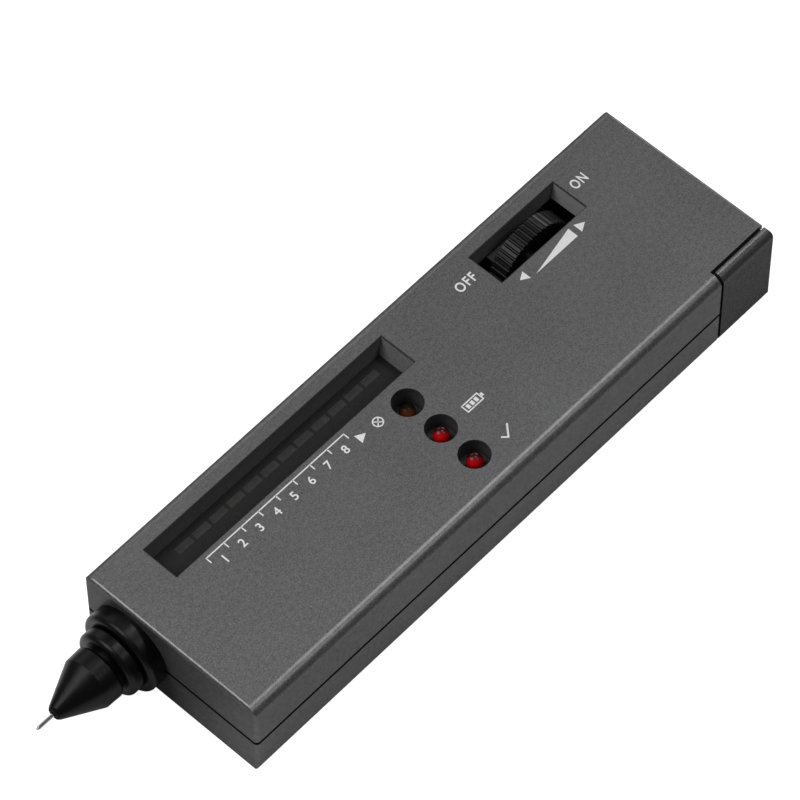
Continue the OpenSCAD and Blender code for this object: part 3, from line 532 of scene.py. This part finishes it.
# The parts soldered to the board: two amplifier chips, two capacitors in shrink sleeves, two
# trimmers, four banded resistors and a sounder. Their legs are tinned wire.
board_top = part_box("main_board")[1].z / MM
LEG_RISE = 0.48
tinned = tint(176, 176, 172)
chip_epoxy = Finish("chip_epoxy")
mould_grain = chip_epoxy.speckle(0.25, detail=4.0)
legs = chip_epoxy.along("Z") < board_top + LEG_RISE
chip_epoxy.surface({
    "Base Color": chip_epoxy.blend(legs, chip_epoxy.blend(
        mould_grain + 0.5, tint(26, 26, 28), tint(44, 44, 46)), tinned),
    "Metallic": legs,
    "Roughness": mould_grain * 0.1 + 0.52,
    "Normal": chip_epoxy.relief(mould_grain, 0.01),
})
dress(chip_epoxy, "op_amp_chips")

CAN_RIM = 0.35
capacitor_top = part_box("capacitors")[1].z / MM
shrink_sleeve = Finish("shrink_sleeve")
can_end = shrink_sleeve.along("Z") > capacitor_top - CAN_RIM
sleeve_wrinkle = shrink_sleeve.speckle(1.2, stretch=(1, 1, 0.3))
shrink_sleeve.surface({
    "Base Color": shrink_sleeve.blend(can_end, shrink_sleeve.blend(
        sleeve_wrinkle + 0.5, tint(26, 32, 74), tint(42, 50, 102)), tint(190, 190, 188)),
    "Metallic": can_end,
    "Roughness": sleeve_wrinkle * 0.1 + 0.3,
    "Normal": shrink_sleeve.relief(sleeve_wrinkle, 0.03),
})
dress(shrink_sleeve, "capacitors")

ROTOR_HIGH = 0.58
trimmer_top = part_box("trimmers")[1].z / MM
trimmer_plastic = Finish("trimmer_plastic")
rotor = trimmer_plastic.along("Z") > trimmer_top - ROTOR_HIGH
trimmer_grain = trimmer_plastic.speckle(0.4, detail=3.0)
trimmer_plastic.surface({
    "Base Color": trimmer_plastic.blend(rotor, trimmer_plastic.blend(
        trimmer_grain + 0.5, tint(38, 84, 152), tint(54, 104, 178)), tint(214, 206, 180)),
    "Roughness": trimmer_grain * 0.1 + 0.45,
    "Normal": trimmer_plastic.relief(trimmer_grain, 0.01),
})
dress(trimmer_plastic, "trimmers")

BANDS_PER_MM = 0.3
BAND_EDGE = 0.86
resistor_lacquer = Finish("resistor_lacquer")
band_place = resistor_lacquer.node("ShaderNodeTexWave", {"bands_direction": "X"}, {
    "Vector": resistor_lacquer.place, "Scale": BANDS_PER_MM / MM}, "Fac")
lacquer_runs = resistor_lacquer.speckle(0.6)
resistor_lacquer.surface({
    "Base Color": resistor_lacquer.blend((band_place > BAND_EDGE) * 0.9, resistor_lacquer.blend(
        lacquer_runs + 0.5, tint(176, 146, 104), tint(204, 176, 132)), tint(96, 44, 26)),
    "Roughness": lacquer_runs * 0.1 + 0.36,
    "Normal": resistor_lacquer.relief(lacquer_runs, 0.02),
})
dress(resistor_lacquer, "resistors")

sounder_black = Finish("sounder_black")
sounder_grain = sounder_black.speckle(0.3, detail=3.0)
sounder_black.surface({
    "Base Color": sounder_black.blend(sounder_grain + 0.5, tint(22, 22, 23), tint(40, 40, 41)),
    "Roughness": sounder_grain * 0.12 + 0.5,
    "Normal": sounder_black.relief(sounder_grain, 0.012),
})
dress(sounder_black, "beeper", "probe_plug", "snap_connector")

# The bar of lights in the window: twelve rectangular lights with milky lenses side by side in a
# black moulded frame on the board, under a pane of smoked acrylic that closes the window.
frame_black = Finish("frame_black")
frame_grain = frame_black.speckle(0.35, detail=3.0)
frame_black.surface({
    "Base Color": frame_black.blend(frame_grain + 0.5, tint(10, 10, 10), tint(20, 20, 20)),
    "Roughness": frame_grain * 0.12 + 0.5,
    "Specular IOR Level": 0.3,
    "Normal": frame_black.relief(frame_grain, 0.01),
})
dress(frame_black, "bar_led_frame")
bar_low, bar_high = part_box("bar_leds")
BAR_LIGHTS = 12
LENS_CLEAR = 0.42
bar_pitch = (bar_high.x - bar_low.x) / BAR_LIGHTS / MM
milky_lens = Finish("milky_lens")
lens_haze = milky_lens.speckle(1.6, detail=3.0)
in_lens = ((milky_lens.along("X") - bar_low.x / MM) * (1 / bar_pitch)).work("FRACT")
masked = abs(in_lens - 0.5) > LENS_CLEAR
milky_lens.surface({
    "Base Color": milky_lens.blend(masked, milky_lens.blend(
        lens_haze + 0.5, tint(150, 146, 144), tint(196, 192, 188)), tint(98, 96, 95)),
    "Roughness": lens_haze * 0.1 + 0.45,
    "Normal": milky_lens.relief(milky_lens.speckle(0.5), 0.008),
})
dress(milky_lens, "bar_leds")
PANE_MIDDLE = 12.0
PANE_PAINTED_SHADE_PER_MM = 0.12
smoked_pane = Finish("smoked_pane")
pane_dust = smoked_pane.speckle(0.5, detail=4.0)
# Painted shade and light: the pane is coloured darker towards its near edge and lighter towards its far
# edge, over a dust speckle.
pane_dust_and_painted_shade = (smoked_pane.along("Y") - PANE_MIDDLE) * PANE_PAINTED_SHADE_PER_MM + pane_dust * 0.4 + 0.5
smoked_pane.surface({
    "Base Color": smoked_pane.blend(pane_dust_and_painted_shade, tint(34, 34, 34), tint(58, 58, 58)),
    "Roughness": pane_dust * 0.1 + 0.22,
    "Specular IOR Level": 0.3,
    "Alpha": 0.5,
})
dress(smoked_pane, "window_pane")

# The three lamps and their cups: clear-coloured epoxy domes cast round their wire legs, one amber
# and set deep, two red, each standing through the floor of a black cup under its hole.
DOME_AND_BODY = 5.7
DOME_R = 1.6
LAMP_SHADE_SIDE = (0.62, 0.58, 0.53)
LAMP_SHADE_MIDDLE = 0.55


def lamp_lens(name, node, deep, bright, gloss):
    """Coloured epoxy on tinned legs, with painted shade on the far side of its dome and a painted glow
    at its near rim.
    """
    low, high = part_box(node)
    heart = (low + high) / 2 / MM
    heart.z = high.z / MM - DOME_R
    lens = Finish(name)
    wire = lens.along("Z") < high.z / MM - DOME_AND_BODY
    # Painted glow and shade: bright at the near, low rim of the dome, deep towards its far side and
    # crown, with a faint mottle.
    leaning = sum((lens.along(axis) - place) * share
                  for axis, place, share in zip("XYZ", heart, LAMP_SHADE_SIDE))
    painted_glow_and_shade = leaning * (1 / DOME_R) + lens.speckle(0.9) * 0.1 + LAMP_SHADE_MIDDLE
    lens.surface({
        "Base Color": lens.blend(wire, lens.blend(painted_glow_and_shade, bright, deep), tinned),
        "Metallic": wire,
        "Roughness": lens.speckle(0.4) * 0.06 + 0.24,
        "Specular IOR Level": gloss,
    })
    dress(lens, node)


lamp_lens("amber_lens", "result_lamp", tint(20, 17, 13), tint(92, 50, 22), gloss=0.04)
for red_lamp in ("battery", "ready"):
    lamp_lens(f"{red_lamp}_red_lens", f"{red_lamp}_lamp", tint(42, 5, 10), tint(214, 11, 17), gloss=0.2)
cup_black = Finish("cup_black")
cup_grain = cup_black.speckle(0.3, detail=3.0)
cup_black.surface({
    "Base Color": cup_black.blend(cup_grain + 0.5, tint(58, 57, 57), tint(76, 75, 75)),
    "Roughness": cup_grain * 0.1 + 0.55,
    "Specular IOR Level": 0.2,
    "Normal": cup_black.relief(cup_grain, 0.01),
})
dress(cup_black, "lamp_cups")

# The probe: a polished steel needle in an ivory plastic plunger with its heater bead, which slides
# in a brass tube against a wound spring, which shortens with it. Two leads run from its plug to
# the board.
needle_steel = Finish("needle_steel")
drawn_lines = needle_steel.speckle(0.06, stretch=(0.01, 1, 1))
needle_steel.surface({
    "Base Color": needle_steel.blend(drawn_lines + 0.5, tint(188, 188, 188), tint(206, 206, 205)),
    "Metallic": 1.0,
    "Roughness": drawn_lines * 0.04 + 0.06,
})
dress(needle_steel, "probe_needle")
ivory_nylon = Finish("ivory_nylon")
nylon_grain = ivory_nylon.speckle(0.5, detail=3.0)
ivory_nylon.surface({
    "Base Color": ivory_nylon.blend(nylon_grain + 0.5, tint(204, 194, 168), tint(226, 218, 196)),
    "Roughness": nylon_grain * 0.1 + 0.46,
    "Normal": ivory_nylon.relief(nylon_grain, 0.006),
})
dress(ivory_nylon, "probe_carrier")
glazed_bead = Finish("glazed_bead")
glaze_pits = glazed_bead.speckle(0.25)
glazed_bead.surface({
    "Base Color": glazed_bead.blend(glaze_pits + 0.5, tint(118, 66, 34), tint(162, 100, 58)),
    "Roughness": glaze_pits * 0.1 + 0.24,
    "Normal": glazed_bead.relief(glaze_pits, 0.006),
})
dress(glazed_bead, "heater_bead")
turned_brass = Finish("turned_brass")
lathe_lines = turned_brass.speckle(0.09, stretch=(1, 0.06, 0.06))
turned_brass.surface({
    "Base Color": turned_brass.blend(lathe_lines + 0.5, tint(190, 150, 84), tint(222, 186, 116)),
    "Metallic": 1.0,
    "Roughness": lathe_lines * 0.12 + 0.28,
    "Normal": turned_brass.relief(lathe_lines, 0.004),
})
dress(turned_brass, "probe_guide")
spring_wire = Finish("spring_wire")
wire_lines = spring_wire.speckle(0.15)
spring_wire.surface({
    "Base Color": spring_wire.blend(wire_lines + 0.5, tint(160, 160, 160), tint(204, 204, 202)),
    "Metallic": 1.0,
    "Roughness": wire_lines * 0.1 + 0.3,
})
SPRING_TURNS = 7.0
SPRING_WIRE_R = 0.2 * MM
spring_low, spring_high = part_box("probe_spring")
coil = Pattern("wound_spring", {
    "Turns": SPRING_TURNS, "Radius": (spring_high.y - spring_low.y) / 2 - SPRING_WIRE_R,
    "Long": spring_high.x - spring_low.x - 2 * SPRING_WIRE_R, "Wire": SPRING_WIRE_R,
})
helix = coil.node("GeometryNodeCurveSpiral", {}, {
    "Resolution": 24, "Rotations": coil.size("Turns"), "Start Radius": coil.size("Radius"),
    "End Radius": coil.size("Radius"), "Height": coil.size("Long")})
wire_round = coil.node("GeometryNodeCurvePrimitiveCircle", {}, {
    "Resolution": 10, "Radius": coil.size("Wire")}, "Curve")
wound = coil.node("GeometryNodeCurveToMesh", {}, {
    "Curve": helix, "Profile Curve": wire_round, "Fill Caps": True}, "Mesh")
wound_spring = coil.make("wound_spring", wound, spring_wire)
plunger_end = (spring_low + spring_high) / 2
plunger_end.x = spring_low.x
first_coil = plunger_end + Vector((SPRING_WIRE_R, 0, 0))
wound_spring.data.transform(Matrix.Translation(first_coil) @ Matrix.Rotation(math.pi / 2, 4, "Y"))
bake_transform(wound_spring)
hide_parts("probe_spring")


def lead_skin(name, dark, light, *nodes):
    """Thin vinyl insulation with a slightly dull, uneven skin."""
    skin = Finish(name)
    unevenness = skin.speckle(0.7, detail=3.0)
    skin.surface({
        "Base Color": skin.blend(unevenness + 0.5, dark, light),
        "Roughness": unevenness * 0.1 + 0.42,
        "Normal": skin.relief(unevenness, 0.012),
    })
    dress(skin, *nodes)


lead_skin("red_vinyl", tint(150, 20, 20), tint(190, 36, 32), "probe_leads", "red_lead")
lead_skin("black_vinyl", tint(20, 20, 20), tint(38, 38, 38), "black_lead")
lead_skin("white_vinyl", tint(188, 188, 182), tint(214, 214, 208), "control_leads")

# The nose: a collar of two stacked rings that the shells clamp by its spigot, and a blunt cone
# screwed onto it. Both are turned from black acetal and left bright from the tool, and the tip is
# dull where it meets the stones.
WORN_LONG = 0.15
nose_black = Finish("nose_black")
tool_lines = nose_black.speckle(0.14, stretch=(1, 0.05, 0.05))
handling = nose_black.speckle(3.5, detail=3.0)
worn_tip = nose_black.along("X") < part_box("nose_cone")[0].x / MM + WORN_LONG
nose_black.surface({
    "Base Color": nose_black.blend(handling * 0.5 + 0.5, tint(5, 5, 5), tint(10, 10, 10)),
    "Roughness": handling * 0.12 + worn_tip * 0.5 + 0.33,
    "Specular IOR Level": 0.16,
    "Normal": nose_black.relief(tool_lines + nose_black.speckle(0.7, detail=3.0) * 3, 0.003),
})
dress(nose_black, "nose_collar", "nose_cone")

# The volume control: a ribbed black thumbwheel, screwed to the spindle of a switch potentiometer
# that hangs on a small upright board. It moves about its own axis, so its grain turns with it.
wheel_black = Finish("wheel_black")
wheel_grain = wheel_black.speckle(0.3, detail=3.0)
wheel_black.surface({
    "Base Color": wheel_black.blend(wheel_grain + 0.5, tint(9, 9, 9), tint(16, 16, 16)),
    "Roughness": wheel_grain * 0.12 + 0.34,
    "Specular IOR Level": 0.2,
    "Normal": wheel_black.relief(wheel_grain, 0.01),
})
dress(wheel_black, "volume_wheel")
set_screws("cross_head_wheel_screw", "wheel_screw", head_r=1.9, shank_r=0.8, head_h=1.2, pitch=0.5,
           turn=HEAD_NEAR, face=-1, body="wheel")
phenolic = Finish("phenolic")
fibres = phenolic.speckle(0.4, detail=4.0, stretch=(0.4, 1, 1))
phenolic.surface({
    "Base Color": phenolic.blend(fibres + 0.5, tint(20, 20, 21), tint(36, 36, 38)),
    "Roughness": fibres * 0.1 + 0.44,
    "Normal": phenolic.relief(fibres, 0.01),
})
dress(phenolic, "potentiometer")

# The battery: a steel can of the standard block size in a plain dark jacket with a copper-coloured
# band, its rim crimped over. Two nickel-plated snap terminals carry the connector.
BAND_LONG = 12.0
CRIMP_LONG = 1.2
can_end_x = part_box("battery")[0].x / MM
battery_jacket = Finish("battery_jacket")
band = battery_jacket.along("X") < can_end_x + BAND_LONG
bare_rim = battery_jacket.along("X") < can_end_x + CRIMP_LONG
scuffs = battery_jacket.speckle(1.8, detail=5.0)
battery_jacket.surface({
    "Base Color": battery_jacket.blend(bare_rim, battery_jacket.blend(band, battery_jacket.blend(
        scuffs + 0.5, tint(34, 34, 37), tint(54, 54, 57)), tint(168, 108, 66)), tint(178, 178, 176)),
    "Metallic": bare_rim * 0.9 + 0.1,
    "Roughness": scuffs * 0.14 + 0.34,
    "Normal": battery_jacket.relief(scuffs, 0.01),
})
dress(battery_jacket, "battery")
nickel = Finish("nickel")
nickel_haze = nickel.speckle(0.5, detail=3.0)
nickel.surface({
    "Base Color": nickel.blend(nickel_haze + 0.5, tint(186, 184, 176), tint(214, 212, 204)),
    "Metallic": 1.0,
    "Roughness": nickel_haze * 0.1 + 0.26,
})
dress(nickel, "battery_terminals")

# The battery cap: a corner of charcoal ABS with a satin spark-eroded skin, pushed on from the rear,
# where its tongue grips the wall beside the battery.
charcoal_skin = Finish("charcoal_skin")
spark_grain = charcoal_skin.speckle(0.28, detail=3.0)
charcoal_skin.surface({
    "Base Color": charcoal_skin.blend(spark_grain + 0.5, tint(76, 76, 77), tint(96, 96, 97)),
    "Metallic": 0.7,
    "Roughness": spark_grain * 0.12 + 0.3,
    "Specular IOR Level": 0.08,
    "Specular Tint": (0.24, 0.24, 0.24, 1),
    "Normal": charcoal_skin.relief(spark_grain, 0.003),
})
dress(charcoal_skin, "battery_cap")

# The table and the light: a white paper sweep, five soft boxes, the strongest nearly overhead, and
# a dim room around them. Glossy surfaces see the sweep with a painted shadow of the tester's foot
# and nose on it, as a painted pool of light that fades away from the tester. A long lens looks down
# from the near side of the nose.
FLOOR_HALF = 6.0
FLOOR_UNDER = 0.05 * MM
floor_corners = [(x * FLOOR_HALF, y * FLOOR_HALF, -FLOOR_UNDER)
                 for x, y in ((-1, -1), (1, -1), (1, 1), (-1, 1))]
floor_mesh = bpy.data.meshes.new("white_sweep")
floor_mesh.from_pydata(floor_corners, [], [(0, 1, 2, 3)])
white_sweep = bpy.data.objects.new("white_sweep", floor_mesh)
bpy.context.collection.objects.link(white_sweep)
sweep_white = Finish("sweep_white")
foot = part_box("lower_case")
foot_middle = (foot[0] + foot[1]) / 2 / MM
foot_half = (foot[1] - foot[0]) / 2 / MM
beside_x = abs(sweep_white.along("X") - foot_middle.x) - foot_half.x
beside_y = abs(sweep_white.along("Y") - foot_middle.y) - foot_half.y
beside = beside_x.work("MAXIMUM", beside_y)
FOOT_SHADE_FADE = 0.22
FOOT_SHADE_DEPTH = 0.42
# Painted shadow round the foot of the tester, as glossy surfaces see the sweep.
foot_shade = (beside * -FOOT_SHADE_FADE).work("EXPONENT") * FOOT_SHADE_DEPTH
SWEEP_REACH = 42.0
# Painted pool of light: the sweep, as glossy surfaces see it, fades away from the tester.
far_off = beside * (1 / SWEEP_REACH)
lit_share = (far_off * far_off * -1).work("EXPONENT")
NOSE_SHADE = (-59.0, 3.0)
NOSE_SHADE_LONG = 16.0
NOSE_SHADE_WIDE = 13.5
NOSE_SHADE_DEPTH = 0.95
# Painted shadow under the nose, as glossy surfaces see the sweep.
from_nose_x = (sweep_white.along("X") - NOSE_SHADE[0]) * (1 / NOSE_SHADE_LONG)
from_nose_y = (sweep_white.along("Y") - NOSE_SHADE[1]) * (1 / NOSE_SHADE_WIDE)
from_nose = from_nose_x * from_nose_x + from_nose_y * from_nose_y
nose_shade = (from_nose * -1).work("EXPONENT") * NOSE_SHADE_DEPTH
rays = {ray: sweep_white.node("ShaderNodeLightPath", {}, {}, ray)
        for ray in ("Is Camera Ray", "Is Glossy Ray", "Is Transmission Ray")}
mirrored = rays["Is Glossy Ray"] + rays["Is Transmission Ray"]
seen = rays["Is Camera Ray"] + mirrored * lit_share * (1 - nose_shade) * (1 - foot_shade)
sweep_white.surface({
    "Base Color": tint(134, 134, 134),
    "Roughness": 0.9,
    "Specular IOR Level": 0.0,
    "Emission Color": sweep_white.blend(seen, (0, 0, 0, 1), (1, 1, 1, 1)),
    "Emission Strength": 1.0,
})
floor_mesh.materials.append(sweep_white.material)

ROOM_LIGHT = 0.16
room = bpy.data.worlds.new("room")
room.use_nodes = True
room.node_tree.nodes["Background"].inputs["Color"].default_value = (1, 1, 1, 1)
room.node_tree.nodes["Background"].inputs["Strength"].default_value = ROOM_LIGHT
bpy.context.scene.world = room


def soft_box(name, towards, size, watts, away):
    """A square lamp in a direction from the tester, turned to it."""
    lamp = bpy.data.lights.new(name, "AREA")
    lamp.shape = "SQUARE"
    lamp.size = size
    lamp.energy = watts
    box = bpy.data.objects.new(name, lamp)
    back = Vector(towards).normalized()
    box.location = back * away
    box.rotation_euler = back.to_track_quat("Z", "Y").to_euler()
    bpy.context.collection.objects.link(box)


soft_box("top_soft_box", (0.384, -0.02, 0.92), size=0.16, watts=1.34, away=0.8)
soft_box("near_soft_box", (0.33, -0.5, 0.8), size=0.1, watts=0.55, away=0.8)
soft_box("front_soft_box", (-0.44, 0.32, 0.84), size=0.2, watts=0.62, away=0.32)
soft_box("rear_soft_box", (0.86, 0.36, 0.36), size=0.2, watts=0.6, away=0.6)
soft_box("far_soft_box", (0.36, 0.8, 0.42), size=0.3, watts=0.35, away=0.6)

LENS_PLACE = (-0.34839, -0.32887, 0.76925)
LENS_TURN = (33.043, 0.237, -47.209)
lens_data = bpy.data.cameras.new("long_lens")
lens_data.sensor_width = 36
lens_data.lens = 234
long_lens = bpy.data.objects.new("long_lens", lens_data)
long_lens.location = LENS_PLACE
long_lens.rotation_euler = [math.radians(angle) for angle in LENS_TURN]
bpy.context.collection.objects.link(long_lens)
bpy.context.scene.camera = long_lens
bpy.context.scene.view_settings.view_transform = "Standard"
